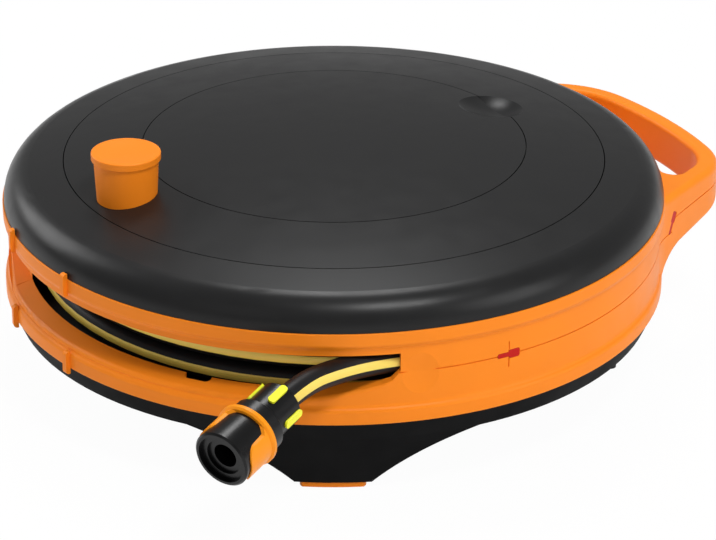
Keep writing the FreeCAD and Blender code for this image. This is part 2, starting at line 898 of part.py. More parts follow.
def knob_place():
    """Where the knob's axis meets the winding plate."""
    return polar(knob_orbit, knob_angle)


def knob_seat():
    """Height of the floor of the round pocket that the knob stands in."""
    return dome_height(knob_orbit + knob_base_radius) - soft_gap


def knob_well(gap=0.0):
    """The wall and floor of the knob's pocket before it is hollowed, grown by a gap."""
    radius = knob_base_radius + knob_pocket_gap + plate_wall + gap
    return disc(radius, knob_seat() - plate_wall - gap, crown_height, knob_place())


def winding_plate():
    """The turning ring between the grooves, with its skirt, knob pocket and finger recess."""
    outer = plate_radius - groove_width / 2
    inner = lid_radius + groove_width / 2
    band = dome_band(inner, outer, 0.0, plate_wall)
    skirt_out = outer - plate_skirt_inset
    skirt = tube(skirt_out - plate_skirt_wall, skirt_out, upper_flange_top,
                 dome_height(skirt_out, plate_wall / 2))
    well = knob_well().common(dome_band(inner, outer, 0.0, knob_height))
    socket = disc(2 * knob_pin_radius, knob_seat() - plate_wall - knob_pin_boss, knob_seat(), knob_place())
    plate = joined([band, skirt, well, socket, recess_bowl(recess_depth, inner, outer)])
    pocket = disc(knob_base_radius + knob_pocket_gap, knob_seat(), crown_height, knob_place())
    hole = disc(knob_pin_radius + screw_fit, 0, crown_height, knob_place())
    return without(plate, [recess_ball(recess_depth), pocket, hole])


def storage_cup():
    """The cup under the lid, hung from the plate by its flange."""
    inner = cup_radius - cup_wall
    flange = dome_band(inner, lid_radius + cup_flange_width, plate_wall, plate_wall + cup_wall)
    wall = tube(inner, cup_radius, cup_bottom, dome_height(cup_radius, plate_wall + cup_wall / 2))
    floor = disc(cup_radius, cup_bottom, cup_bottom + cup_floor_rise)
    cup = joined([flange, wall, floor])
    return without(cup, [recess_ball(recess_depth, recess_wall + soft_gap), knob_well(soft_gap)])


def storage_lid():
    """The lift-off disc inside the inner groove."""
    edge = lid_radius - groove_width / 2
    skirt_out = cup_radius - cup_wall - lid_skirt_gap
    disc_band = dome_band(0.0, edge, 0.0, lid_wall)
    skirt = tube(skirt_out - lid_skirt_wall, skirt_out, dome_height(skirt_out) - lid_wall - lid_skirt_depth,
                 dome_height(skirt_out, lid_wall / 2))
    lid = joined([disc_band, skirt, recess_bowl(lid_recess_depth, 0.0, edge)])
    return lid.cut(recess_ball(lid_recess_depth))


# Knob

def knob_body():
    """The tapered grip of the knob, hollow for its pin."""
    base = knob_seat() + soft_gap
    top = base + knob_height - knob_cap_height
    outline = [(knob_pin_radius + running_fit, base), (knob_base_radius, base), (knob_top_radius, top),
               (knob_pin_head_radius + knob_head_room, top),
               (knob_pin_head_radius + knob_head_room, knob_shelf()),
               (knob_pin_radius + running_fit, knob_shelf())]
    body = spun(outline)
    body.translate(knob_place())
    return body


def knob_shelf():
    """Height of the shelf inside the knob that the pin's head holds down."""
    top = knob_seat() + soft_gap + knob_height - knob_cap_height
    return top - knob_pin_head_height - 2 * knob_head_room - soft_gap


def knob_cap():
    """The lipped disc on top of the knob, slightly dished."""
    bottom = knob_seat() + soft_gap + knob_height - knob_cap_height
    cap = disc(knob_cap_radius, bottom, bottom + knob_cap_height)
    rims = [e for e in cap.Edges if len(e.Vertexes) == 1 and edge_middle(e).z > bottom + tolerance]
    cap = cap.makeFillet(knob_dish_depth / 2, rims)
    dish_edge = knob_cap_radius - 2 * knob_dish_depth
    radius = (dish_edge ** 2 + knob_dish_depth ** 2) / (2 * knob_dish_depth)
    ball = Part.makeSphere(radius, V(0, 0, bottom + knob_cap_height - knob_dish_depth + radius))
    cap = cap.cut(ball)
    cap.translate(knob_place())
    return cap


def knob_pin():
    """The pin that the knob turns on, pressed into the plate."""
    head = knob_shelf() + soft_gap
    shank = disc(knob_pin_radius, knob_seat() - plate_wall - knob_pin_boss, head, knob_place())
    return joined([shank, disc(knob_pin_head_radius, head, head + knob_pin_head_height, knob_place())])


# Base pan, feet and pads

def heel_radius():
    """Distance of a foot's inner edge from the axis, at its pad."""
    return foot_toe - foot_heel_depth


def foot_form(inset, bottom, top):
    """One flared foot on the handle's side, drawn in by an inset."""
    heel = heel_radius() + inset
    flare = heel - foot_heel_flare
    bend = V(heel - foot_bend_width * foot_heel_flare, 0, bottom + foot_bend_height * (top - bottom))
    toe = V(foot_toe - inset, 0, bottom)
    brow = V(pan_edge - inset, 0, top)
    side = [Part.makeLine(V(heel, 0, bottom), toe), Part.makeLine(toe, brow),
            Part.makeLine(brow, V(flare, 0, top)),
            Part.Arc(V(flare, 0, top), bend, V(heel, 0, bottom)).toShape()]
    reach = turned(Part.Face(Part.Wire(side)).revolve(V(0, 0, 0), UP, half_turn / 2), -half_turn / 4)
    ankle = foot_ankle - inset
    waist = foot_waist - inset
    spread = foot_spread - inset
    waist_height = pan_bottom - foot_waist_drop

    def at(width, height):
        return V(0, width, height)

    front = [Part.makeLine(at(-ankle, bottom), at(ankle, bottom)),
             Part.Arc(at(ankle, bottom), at(waist, waist_height + inset), at(spread, top)).toShape(),
             Part.makeLine(at(spread, top), at(-spread, top)),
             Part.Arc(at(-spread, top), at(-waist, waist_height + inset), at(-ankle, bottom)).toShape()]
    return reach.common(Part.Face(Part.Wire(front)).extrude(V(rim_radius, 0, 0)))


def base_pan():
    """The black pan with its three feet, ribs, screw posts and inlet saddle."""
    hole = spigot_radius + 2 * screw_fit
    spigot_out = casing_inside - soft_gap
    spigot_in = spigot_out - spigot_wall
    rise = pan_edge_lift
    outline = [(hole, pan_bottom), (pan_edge - pan_chamfer, pan_bottom), (pan_edge, pan_bottom + rise),
               (pan_top_radius, casing_bottom), (spigot_out, casing_bottom),
               (spigot_out, casing_bottom + spigot_depth), (spigot_in, casing_bottom + spigot_depth),
               (spigot_in, casing_bottom), (pan_edge - pan_chamfer - pan_wall, pan_floor),
               (hole, pan_floor)]
    pan = spun(outline)
    foot = foot_form(0.0, pad_height, pan_bottom + rise)
    hollow = foot_form(foot_wall, pad_height + foot_wall, pan_floor)
    pan = joined([pan] + [turned(foot, a) for a in foot_angles])
    pan = without(pan, [turned(hollow, a) for a in foot_angles])
    rib = placed_box((post_flange_radius + pan_wall, pan_edge - pan_chamfer - pan_wall),
                     (-screw_radius / 2, screw_radius / 2),
                     (pan_floor - pan_wall / 2, pan_floor + pan_rib_height))
    posts = [disc(boss_radius, pan_floor - pan_wall / 2, casing_bottom, polar(boss_orbit, a))
             for a in screw_angles]
    saddle_half = inlet_radius + pan_wall
    saddle = placed_box((saddle_offset, saddle_offset + saddle_width), (-saddle_half, saddle_half),
                        (inlet_height, pan_bottom + pan_wall / 2), V(0, 0, 0), inlet_angle)
    pan = joined([pan] + ring_of(rib, pan_ribs, half_turn / pan_ribs) + posts + [saddle])
    pipe_room = Part.makeCylinder(inlet_radius + screw_fit, inlet_reach, V(0, 0, inlet_height),
                                  polar(1.0, inlet_angle))
    return without(pan, screw_holes() + spindle_holes() + [pipe_room])


def foot_pads():
    """The orange pads under the feet."""
    low = heel_radius() + pan_wall
    pad = placed_box((low, foot_toe), (-pad_half_width, pad_half_width), (0, pad_height))
    pad = pad.makeFillet(pad_corner, upright_edges(pad))
    pad = pad.common(disc(foot_toe - witness_width, 0, pad_height))
    return Part.makeCompound([turned(pad, a) for a in foot_angles])


# Spindle and water path

def spindle_places():
    """Where the three spindle screws stand."""
    return [polar(spindle_screw_ring_radius, angle) for angle in spindle_screw_angles]


def spindle_holes():
    """The holes of the spindle screws."""
    return [disc(screw_radius + screw_fit, 0, casing_bottom, at) for at in spindle_places()]


def spindle_post():
    """The fixed hollow post that the reel turns on."""
    flange = disc(post_flange_radius, pan_floor, washer_bottom)
    post = joined([disc(post_radius, pan_floor, post_top), flange])
    socket = disc(spigot_radius + screw_fit, pan_floor - overlap, spigot_top + screw_fit)
    bore = disc(post_bore, pan_floor, post_top + overlap)
    groove = tube(post_radius - ring_groove_depth, post_radius + overlap,
                  ring_bottom, ring_bottom + ring_height)
    return without(post, [socket, bore, groove] + spindle_holes())


def spindle_screws():
    """The screws that hold the post and the inlet body to the pan."""
    screws = []
    for at in spindle_places():
        head = disc(screw_head_radius, washer_bottom, washer_bottom + screw_head_height, at)
        shank = disc(screw_radius, pan_bottom - pan_wall, washer_bottom, at)
        screws.append(head.fuse(shank).removeSplitter())
    return Part.makeCompound(screws)


def thrust_washer():
    """The washer that the reel's hub runs on."""
    return tube(post_radius + running_fit, post_radius + washer_width, washer_bottom,
                washer_bottom + washer_height)


def retaining_ring():
    """The ring in the post's groove that keeps the reel down."""
    inner = post_radius - ring_groove_depth + screw_fit
    return tube(inner, inner + ring_width, ring_bottom + screw_fit, ring_bottom + ring_height - screw_fit)


def hub_bush():
    """The bearing bush between hub and post."""
    return tube(post_radius + running_fit, hub_bore, hub_bottom, hub_top)


def seal_ring(radius, height):
    """A round sealing ring by the radius of its middle line."""
    return Part.makeTorus(radius, seal_wire, V(0, 0, height))


def seal_groove(inner, outer, height):
    """The groove that a sealing ring lies in."""
    half = seal_wire + screw_fit
    return tube(inner, outer, height - half, height + half)


def stem_seal_heights():
    """Heights of the two seals on the swivel stem."""
    return [post_top - stem_length * share for share in stem_seal_shares]


def swivel_elbow():
    """The elbow that turns with the reel and leads the water out to the hose."""
    stem = disc(post_bore - running_fit, post_top - stem_length, post_top + ring_height)
    collar = disc(stem_collar_radius, post_top + end_float, post_top + ring_height + end_float)
    riser = disc(elbow_radius, post_top + ring_height, elbow_height)
    out = V(1, 0, 0)
    corner = V(0, 0, elbow_height)
    arm = Part.makeCylinder(elbow_radius, elbow_reach - barb_length, corner, out)
    barb = Part.makeCylinder(hose_bore / 2 - screw_fit, elbow_reach, corner, out)
    body = joined([stem, collar, riser, Part.makeSphere(elbow_radius, corner), arm, barb])
    groove_floor = stem_seal_radius - seal_wire - screw_fit
    grooves = [seal_groove(groove_floor, post_bore, h) for h in stem_seal_heights()]
    bores = [disc(elbow_bore, 0, elbow_height), Part.makeSphere(elbow_bore, corner),
             Part.makeCylinder(elbow_bore, elbow_reach + overlap, corner, out)]
    return turned(without(body, bores + grooves), elbow_angle)


def swivel_seals():
    """The two sealing rings on the swivel stem."""
    return Part.makeCompound([seal_ring(stem_seal_radius, h) for h in stem_seal_heights()])


def along_elbow(inner, outer, start, end):
    """A tube round the elbow's arm."""
    corner = V(start, 0, elbow_height)
    rod = Part.makeCylinder(outer, end - start, corner, V(1, 0, 0))
    bore = Part.makeCylinder(inner, end - start + 2 * overlap, corner - V(overlap, 0, 0), V(1, 0, 0))
    return turned(rod.cut(bore), elbow_angle)


def inner_hose_end():
    """The end of the hose that comes through the drum onto the elbow."""
    return along_elbow(hose_bore / 2, hose_radius, elbow_reach - barb_length, drum_radius)


def hose_clamp():
    """The band round the inner hose end."""
    start = elbow_reach - barb_length + clamp_length / 2
    return along_elbow(hose_radius, hose_radius + clamp_wall, start, start + clamp_length)


def inlet_body():
    """The fixed elbow under the pan that the water comes in through."""
    outward = polar(1.0, inlet_angle)
    corner = V(0, 0, inlet_height)
    flange_bottom = pan_bottom - post_flange_height
    body = joined([
        disc(post_flange_radius, flange_bottom, pan_bottom),
        disc(spigot_radius, pan_bottom, spigot_top),
        disc(inlet_socket_radius, inlet_height, pan_bottom),
        Part.makeSphere(inlet_socket_radius, corner),
        Part.makeCylinder(inlet_radius, inlet_reach, corner, outward),
        Part.makeCylinder(inlet_socket_radius, inlet_socket_length,
                          corner + outward * (inlet_reach - inlet_socket_length), outward),
    ])
    socket = Part.makeCylinder(nipple_shoulder_radius + screw_fit, nipple_shoulder_length,
                               corner + outward * (inlet_reach - nipple_shoulder_length), outward)
    bores = [disc(inlet_bore, inlet_height, spigot_top + overlap), Part.makeSphere(inlet_bore, corner),
             Part.makeCylinder(inlet_bore, inlet_reach + overlap, corner, outward), socket]
    groove_floor = inlet_seal_radius - seal_wire - screw_fit
    groove = seal_groove(groove_floor, spigot_radius + overlap, inlet_seal_height)
    return without(body, bores + [groove] + spindle_holes())


def inlet_seal():
    """The sealing ring on the inlet body's spigot."""
    return seal_ring(inlet_seal_radius, inlet_seal_height)


def inlet_nipple():
    """The push-on nipple at the end of the inlet pipe."""
    outward = polar(1.0, inlet_angle)
    at = inlet_reach - nipple_shoulder_length
    steps = ((nipple_shoulder_radius, nipple_shoulder_length), (inlet_socket_radius, pan_wall),
             (nipple_shoulder_radius, nipple_shoulder_length), (nipple_neck_radius, nipple_neck_length),
             (nipple_radius, nipple_length))
    stages = []
    for radius, length in steps:
        stages.append(Part.makeCylinder(radius, length, polar(at, inlet_angle, inlet_height), outward))
        at += length
    bore = Part.makeCylinder(nipple_bore, at, V(0, 0, inlet_height), outward)
    return joined(stages).cut(bore)


# Drum

def drum_screw_places():
    """Where the drum screws stand."""
    radius = drum_inside - boss_radius + drum_boss_sunk
    step = full_turn / drum_screw_count
    return [polar(radius, drum_screw_start + step * i) for i in range(drum_screw_count)]


def lower_flange():
    """The lower cheek of the drum with its hub and ribs."""
    cheek = tube(hub_bore, flange_radius, lower_flange_bottom, lower_flange_top)
    hub = tube(hub_bore, hub_radius, hub_bottom, hub_top)
    rib = placed_box((hub_radius - hub_wall / 2, drum_inside - soft_gap),
                     (-flange_wall / 2, flange_wall / 2),
                     (lower_flange_top - flange_wall / 2, lower_flange_top + drum_rib_height))
    middle = (hub_radius + drum_inside) / 2
    window = disc(drum_window_share * (drum_inside - hub_radius), 0, crown_height,
                  polar(middle, drum_window_start))
    holes = [disc(screw_radius + screw_fit, 0, crown_height, at) for at in drum_screw_places()]
    return without(joined([cheek, hub] + ring_of(rib, drum_screw_count)),
                   ring_of(window, drum_screw_count) + holes)


def upper_flange():
    """The upper cheek of the drum, which carries the winding plate."""
    return tube(cup_radius + plate_skirt_wall / 2, flange_radius, upper_flange_bottom, upper_flange_top)


def drum_core():
    """The barrel that the hose is wound on."""
    barrel = tube(drum_inside, drum_radius, lower_flange_top, upper_flange_bottom)
    posts = [disc(boss_radius, lower_flange_top, upper_flange_bottom, at) for at in drum_screw_places()]
    holes = [disc(screw_radius + screw_fit, 0, lower_flange_top + drum_height / 2, at)
             for at in drum_screw_places()]
    hose_hole = Part.makeCylinder(hose_radius + soft_gap, flange_radius, V(0, 0, elbow_height),
                                  polar(1.0, elbow_angle))
    return without(joined([barrel] + posts), holes + [hose_hole])


def drum_screws():
    """The screws that hold the lower cheek to the barrel."""
    screws = []
    for at in drum_screw_places():
        head = disc(screw_head_radius, lower_flange_bottom - screw_head_height, lower_flange_bottom, at)
        shank = disc(screw_radius, lower_flange_bottom, lower_flange_top + drum_height / 3, at)
        screws.append(head.fuse(shank).removeSplitter())
    return Part.makeCompound(screws)


# Hose

def winding_path():
    """The outer layer's line, with a straight end of one diameter at both ends."""
    edges, ends = helix_edges(winding_radius, turn_pitch, winding_turns, winding_start, winding_bottom)
    start, leave, finish, arrive = ends
    first = Part.makeLine(start - leave * hose_diameter, start)
    last = Part.makeLine(finish, finish + arrive * hose_diameter)
    low_end = (start - leave * hose_diameter, leave * -1)
    high_end = (finish + arrive * hose_diameter, arrive)
    return [first] + edges + [last], low_end, high_end


def hose_winding():
    """The outer layer of hose on the drum, one unbroken tube."""
    return pipe(winding_path()[0], hose_radius)


def layer_ramp(start, heading):
    """The stretch of hose that sinks from the end of the outer layer into the layer below."""
    inward = V(-start.x, -start.y, 0).normalize()
    heading = V(heading.x, heading.y, 0).normalize()
    start = start + heading * soft_gap
    turn = math.radians(ramp_turn)

    def point(angle):
        sunk = ramp_radius * (1 - math.cos(angle))
        return start + heading * (ramp_radius * math.sin(angle)) + inward * sunk

    return pipe([Part.Arc(start, point(turn / 2), point(turn)).toShape()], hose_radius)


def hose_core():
    """The inner layers of hose as one plain sleeve, with the two ramps up to the outer layer."""
    sleeve = tube(core_inside, core_outside, lower_flange_top + soft_gap, upper_flange_bottom - soft_gap)
    path, low_end, high_end = winding_path()
    return joined([sleeve, layer_ramp(*low_end), layer_ramp(*high_end)])


def connector_axis():
    """The way that the connector points."""
    dip = math.radians(connector_dip)
    return polar(math.cos(dip), connector_turn, -math.sin(dip))


def tail_end():
    """The last corner of the hose tail's route."""
    angle, radius, height = tail_route[-1]
    return polar(radius, angle, height)


def nut_rear():
    """Where the hose goes into the connector's nut."""
    return tail_end() + connector_axis() * nut_run


def tail_points():
    """The corners of the hose tail's route, to its end inside the nut."""
    points = [polar(radius, angle, height) for angle, radius, height in tail_route]
    return points + [nut_rear() + connector_axis() * hose_insert]


def rounded_route(points):
    """Straight runs joined by the largest even arcs, and the radius of each arc."""
    edges = []
    radii = []
    last = points[0]
    for before, corner, after in zip(points, points[1:], points[2:]):
        back = before - corner
        ahead = after - corner
        cut = arc_share * min(back.Length, ahead.Length)
        half_bend = (math.pi - back.getAngle(ahead)) / 2
        radii.append(cut / math.tan(half_bend))
        start = corner + back.normalize() * cut
        end = corner + ahead.normalize() * cut
        edges.append(Part.makeLine(last, start))
        edges.append(corner_arc(start, corner, end))
        last = end
    edges.append(Part.makeLine(last, points[-1]))
    return edges, radii


def hose_tail():
    """The free end of the hose, from behind the casing to the connector."""
    return pipe(rounded_route(tail_points())[0], hose_radius)


# Connector, built upright along its own axis and then set in place

def on_hose(shape):
    """A connector piece moved from its own axis to the end of the hose."""
    axis = connector_axis()
    side = UP.cross(axis).normalize()
    turn = FreeCAD.Rotation(side, axis.cross(side), axis, "ZXY")
    moved = shape.copy()
    moved.Placement = FreeCAD.Placement(nut_rear(), turn)
    return moved


def grip_block(gap):
    """One raised grip on the nut, or its pocket."""
    half = grip_width / 2 - gap
    block = placed_box((nut_radius - grip_sunk, nut_radius + grip_proud), (-half, half),
                       (grip_start + gap, grip_start + grip_length - gap))
    return block.makeFillet(grip_round_share * half, edges_along(block, V(1, 0, 0)))


def connector_nut():
    """The nut that clamps the hose."""
    hose_hole = hose_radius + soft_gap
    thread = nut_thread_radius + screw_fit
    outline = [(hose_hole, 0), (nut_radius - nut_chamfer, 0), (nut_radius, nut_chamfer),
               (nut_radius, nut_length), (thread, nut_length), (thread, hose_insert - soft_gap),
               (hose_hole, hose_insert - soft_gap)]
    return without(spun(outline), ring_of(grip_block(0.0), grip_count, grip_turn))


def nut_grips():
    """The raised grips on the nut."""
    return Part.makeCompound(ring_of(grip_block(screw_fit), grip_count, grip_turn))


def connector_body():
    """The fixed core of the connector, with the bore that a nipple pushes into."""
    neck = nut_length + soft_gap
    bore_start = barrel_end - connector_bore_length
    outline = [(elbow_bore, hose_insert), (nut_thread_radius, hose_insert), (nut_thread_radius, neck),
               (neck_radius - neck_chamfer, neck), (neck_radius, neck + neck_chamfer),
               (neck_radius, neck + neck_length), (barrel_radius, neck + neck_length),
               (barrel_radius, barrel_end), (connector_bore, barrel_end), (connector_bore, bore_start),
               (elbow_bore, bore_start)]
    groove_floor = connector_seal_radius + seal_wire + screw_fit
    groove = seal_groove(connector_bore - overlap, groove_floor, connector_seal_place)
    return without(spun(outline), [groove] + claws(screw_fit))


def claws(gap):
    """The two latching claws in the barrel's side windows, or the windows."""
    half = claw_width / 2 + gap
    inner = connector_bore + screw_fit - 2 * gap
    outer = barrel_radius - screw_fit + 2 * gap
    span = (claw_position - gap, claw_position + claw_length + gap)
    claw = placed_box((inner, outer), (-half, half), span)
    return ring_of(claw.common(disc(outer, 0, sleeve_end)), 2)


def connector_seal():
    """The sealing ring inside the connector's bore."""
    return seal_ring(connector_seal_radius, connector_seal_place)


def housing_radius():
    """Outside of the sleeve's housing round the spring."""
    return barrel_radius + spring_pocket + spring_housing_wall


def sleeve_tongues():
    """The two tongues that reach forward from the sleeve's collar over its black front."""
    collar_end = sleeve_start + collar_width
    low = collar_end - collar_chamfer
    high = collar_end + tongue_reach
    width = tongue_half_width
    foot = width + tongue_flare
    outline = [(-foot, low), (-width, low + tongue_flare), (-width, high), (width, high),
               (width, low + tongue_flare), (foot, low)]
    points = [V(-collar_radius, y, z) for y, z in outline]
    form = Part.Face(Part.makePolygon(points + points[:1])).extrude(V(2 * collar_radius, 0, 0))
    corners = [e for e in edges_along(form, V(1, 0, 0)) if abs(edge_middle(e).z - high) < tolerance]
    form = form.makeFillet(tongue_corner, corners)
    band = tube(sleeve_waist, sleeve_radius + tongue_proud, low, high)
    mouth = sleeve_end - mouth_chamfer
    front = spun([(0.0, collar_end), (sleeve_waist + screw_fit, collar_end),
                  (sleeve_radius + screw_fit, mouth), (0.0, mouth)])
    return turned(band.common(form).cut(front), tongue_turn)


def sleeve_shell():
    """The orange half of the release sleeve: spring housing, collar and two tongues."""
    slide = barrel_radius + running_fit
    pocket = barrel_radius + spring_pocket
    room = neck_radius + soft_gap
    room_end = sleeve_start + collar_room
    collar_end = sleeve_start + collar_width
    housing_end = spring_seat + pan_wall
    outline = [(slide, spring_seat), (pocket, spring_seat), (pocket, room_end), (room, room_end),
               (room, sleeve_start), (collar_radius - collar_chamfer, sleeve_start),
               (collar_radius, sleeve_start + collar_chamfer), (collar_radius, collar_end - collar_chamfer),
               (collar_radius - collar_chamfer, collar_end), (housing_radius(), collar_end),
               (housing_radius(), housing_end), (slide, housing_end)]
    return joined([spun(outline), sleeve_tongues()])


def sleeve_grip():
    """The black front of the release sleeve, a little wider towards its mouth."""
    slide = barrel_radius + running_fit
    rear = sleeve_start + collar_width
    around_spring = housing_radius() + screw_fit
    housing_end = spring_seat + pan_wall
    mouth_floor = sleeve_end - mouth_depth
    return spun([(around_spring, rear), (sleeve_waist, rear), (sleeve_radius, sleeve_end - mouth_chamfer),
                 (sleeve_radius - mouth_chamfer, sleeve_end), (mouth_radius, sleeve_end),
                 (mouth_radius, mouth_floor), (slide, mouth_floor), (slide, housing_end),
                 (around_spring, housing_end)])


def collar_spring():
    """The coil spring that pushes the sleeve forward."""
    seat = nut_length + soft_gap + neck_length
    lift = spring_wire / 2 + soft_gap
    pitch = (spring_seat - seat - 2 * lift) / spring_turns
    edges, ends = helix_edges(barrel_radius + spring_pocket / 2, pitch, spring_turns, 0.0, seat + lift)
    return pipe(edges, spring_wire / 2)


def least_self_gap(radius, pitch, turns, wire):
    """Least gap of a helix to its own next turn, measured on points."""
    steps = 72
    count = int(turns * steps)
    points = [V(radius * math.cos(2 * math.pi * i / steps), radius * math.sin(2 * math.pi * i / steps),
                pitch * i / steps) for i in range(count + 1)]
    apart = [(points[i] - points[j]).Length for i in range(count + 1)
             for j in range(i + steps // 2, count + 1)]
    return min(apart) - wire


casing = whole_casing()
upper_half, lower_half = casing_halves(casing)
nodes = {
    "upper_casing": upper_half,
    "lower_casing": lower_half,
    "casing_clips": casing_clips(),
    "casing_screws": casing_screws(),
    "top_cover": top_cover(),
    "base_pan": base_pan(),
    "foot_pads": foot_pads(),
    "spindle_post": spindle_post(),
    "spindle_screws": spindle_screws(),
    "thrust_washer": thrust_washer(),
    "retaining_ring": retaining_ring(),
    "inlet_body": inlet_body(),
    "inlet_seal": inlet_seal(),
    "inlet_nipple": inlet_nipple(),
    "lower_flange": lower_flange(),
    "upper_flange": upper_flange(),
    "drum_core": drum_core(),
    "drum_screws": drum_screws(),
    "hub_bush": hub_bush(),
    "swivel_elbow": swivel_elbow(),
    "swivel_seals": swivel_seals(),
    "inner_hose_end": inner_hose_end(),
    "hose_clamp": hose_clamp(),
    "hose_core": hose_core(),
    "hose_winding": hose_winding(),
    "winding_plate": winding_plate(),
    "storage_cup": storage_cup(),
    "storage_lid": storage_lid(),
    "knob_pin": knob_pin(),
    "knob_body": knob_body(),
    "knob_cap": knob_cap(),
    "hose_tail": hose_tail(),
    "connector_nut": on_hose(connector_nut()),
    "nut_grips": on_hose(nut_grips()),
    "connector_body": on_hose(connector_body()),
    "connector_seal": on_hose(connector_seal()),
    "connector_claws": on_hose(Part.makeCompound(claws(0.0))),
    "collar_spring": on_hose(collar_spring()),
    "sleeve_shell": on_hose(sleeve_shell()),
    "sleeve_grip": on_hose(sleeve_grip()),
}
for name, shape in nodes.items():
    shape.translate(V(axis_shift, 0, 0))
    shape.exportStep("parts/" + name + ".step")

route_edges, route_radii = rounded_route(tail_points())
route_length = sum(edge.Length for edge in route_edges)
print("hose tail radii", [round(radius, 1) for radius in route_radii], "length", round(route_length, 1))
plain_volume = math.pi * hose_radius ** 2 * route_length
print("hose tail volume share", round(nodes["hose_tail"].Volume / plain_volume, 4))
turn_clearance = least_self_gap(winding_radius, turn_pitch, winding_turns, hose_diameter)
print("least gap between turns", round(turn_clearance, 2))
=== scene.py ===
import json
import math

import bmesh
import bpy
from mathutils import Matrix, Vector

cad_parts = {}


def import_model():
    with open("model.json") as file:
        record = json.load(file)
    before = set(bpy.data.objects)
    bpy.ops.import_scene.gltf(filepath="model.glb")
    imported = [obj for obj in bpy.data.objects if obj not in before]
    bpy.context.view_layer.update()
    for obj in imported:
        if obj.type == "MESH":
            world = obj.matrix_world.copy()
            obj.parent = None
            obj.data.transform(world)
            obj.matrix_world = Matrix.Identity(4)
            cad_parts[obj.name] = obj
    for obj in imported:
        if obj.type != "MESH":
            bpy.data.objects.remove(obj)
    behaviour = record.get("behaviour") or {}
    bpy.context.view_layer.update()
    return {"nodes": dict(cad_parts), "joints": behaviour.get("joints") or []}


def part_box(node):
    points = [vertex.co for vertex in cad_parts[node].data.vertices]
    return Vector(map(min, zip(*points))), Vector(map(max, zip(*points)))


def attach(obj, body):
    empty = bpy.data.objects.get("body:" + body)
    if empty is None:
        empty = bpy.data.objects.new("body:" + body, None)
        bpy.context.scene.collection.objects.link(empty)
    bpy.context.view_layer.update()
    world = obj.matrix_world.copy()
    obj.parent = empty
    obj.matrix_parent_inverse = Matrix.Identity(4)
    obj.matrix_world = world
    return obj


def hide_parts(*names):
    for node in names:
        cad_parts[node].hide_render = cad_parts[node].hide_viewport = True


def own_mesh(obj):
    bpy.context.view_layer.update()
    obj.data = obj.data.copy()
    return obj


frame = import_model()
nodes = frame["nodes"]
UP = Vector((0, 0, 1))

# Lengths are in metres, angles in degrees, counted about the reel's axis from the carry handle.
reel_axis = next(Vector(j["pos_m"]) for j in frame["joints"] if j["name"] == "reel_spin")

# Hose: a section has twice hose_sides corners, and a stripe on each side
hose_diameter = 0.0163
hose_sides = 12
stripe_half_width = 20.0
stripe_steps = 4
spline_order = 3

# Outer layer of hose on the drum
turn_count = 3
turn_pitch = 0.0168
turn_radius = 0.19445
turn_bottom = 0.07175
turn_start = -75.8
turn_points = 24
turn_steps = 3
ramp_radius = 0.120
ramp_turn = 55.0
ramp_points = 5

# Inner layers of hose on the drum
layer_inside = 0.1368
layer_outside = 0.186
layer_ridge = 0.003
layer_sides = 96
ridge_points = 8

# Route of the hose tail: angle about the reel's axis, distance from it, height
tail_route = (
    (-72.0, 0.2122, 0.0970),
    (-86.0, 0.2135, 0.0967),
    (-100.0, 0.2133, 0.0960),
    (-112.5, 0.2130, 0.0952),
    (-119.1, 0.2244, 0.0956),
    (-124.69, 0.2457, 0.0964),
)
connector_turn = -154.3
connector_dip = 10.5
tail_in_nut = 0.030
tail_twist = -14.0
tail_steps = 12

# Camera
camera_place = (-1.0567, -1.7956, 1.0433)
camera_heading = 59.734
camera_pitch = 25.450
camera_roll = 0.1955
camera_lens = 166.41
camera_sensor = 36.0

# Studio: each lamp's name, place, point that it looks at, width and power in watts
floor_half = 6.0
floor_level = -0.0003
floor_tone = 0.9
floor_roughness = 0.9
floor_glow_share = 0.97
world_strength = 0.3
lamps = (
    ("overhead", (0.40, 0.69, 1.90), (0, 0, 0.15), 0.6, 14),
    ("top_front", (-0.1, -1.3, 2.2), (0, 0, 0.1), 0.5, 27),
    ("back_left", (-1.0, 1.8, 1.2), (0, 0, 0.1), 1.2, 20),
    ("front_left", (-1.9, -1.0, 1.2), (0, 0, 0.08), 1.2, 1.5),
    ("front_right", (1.1, -1.9, 0.9), (0, 0, 0.08), 1.2, 14),
)

# Finishes: sizes of the noise in a surface, and how far its gloss and tone wander
mottle_size = 0.05
gloss_size = 0.02
gloss_spread = 0.1
cloud_size = 0.006
cloud_dark = 0.88
cloud_rough = 1.5


def polar(radius, angle, height):
    """A point from its distance to the reel's axis, its angle and its height."""
    turn = math.radians(angle)
    return Vector((reel_axis.x + radius * math.cos(turn), reel_axis.y + radius * math.sin(turn), height))


# Materials

def new_material(name):
    """A material with a Principled shader, and short ways to add nodes and links to it."""
    material = bpy.data.materials.new(name)
    material.use_nodes = True
    tree = material.node_tree
    shader = tree.nodes["Principled BSDF"]

    def add(kind, **values):
        node = tree.nodes.new(kind)
        for key, value in values.items():
            if hasattr(node, key):
                setattr(node, key, value)
            else:
                node.inputs[key.replace("_", " ")].default_value = value
        return node

    return material, tree, shader, add


def noise(tree, add, size, detail=3.0):
    """Noise of a given feature size, fixed to the object."""
    place = add("ShaderNodeTexCoord")
    texture = add("ShaderNodeTexNoise", Scale=1.0 / size, Detail=detail)
    tree.links.new(place.outputs["Object"], texture.inputs["Vector"])
    return texture.outputs["Fac"]


def ramp(tree, add, factor, low, high, start=0.3, end=0.7):
    """A factor turned into a value that runs from low to high."""
    node = add("ShaderNodeMapRange", From_Min=start, From_Max=end, To_Min=low, To_Max=high)
    tree.links.new(factor, node.inputs["Value"])
    return node.outputs["Result"]


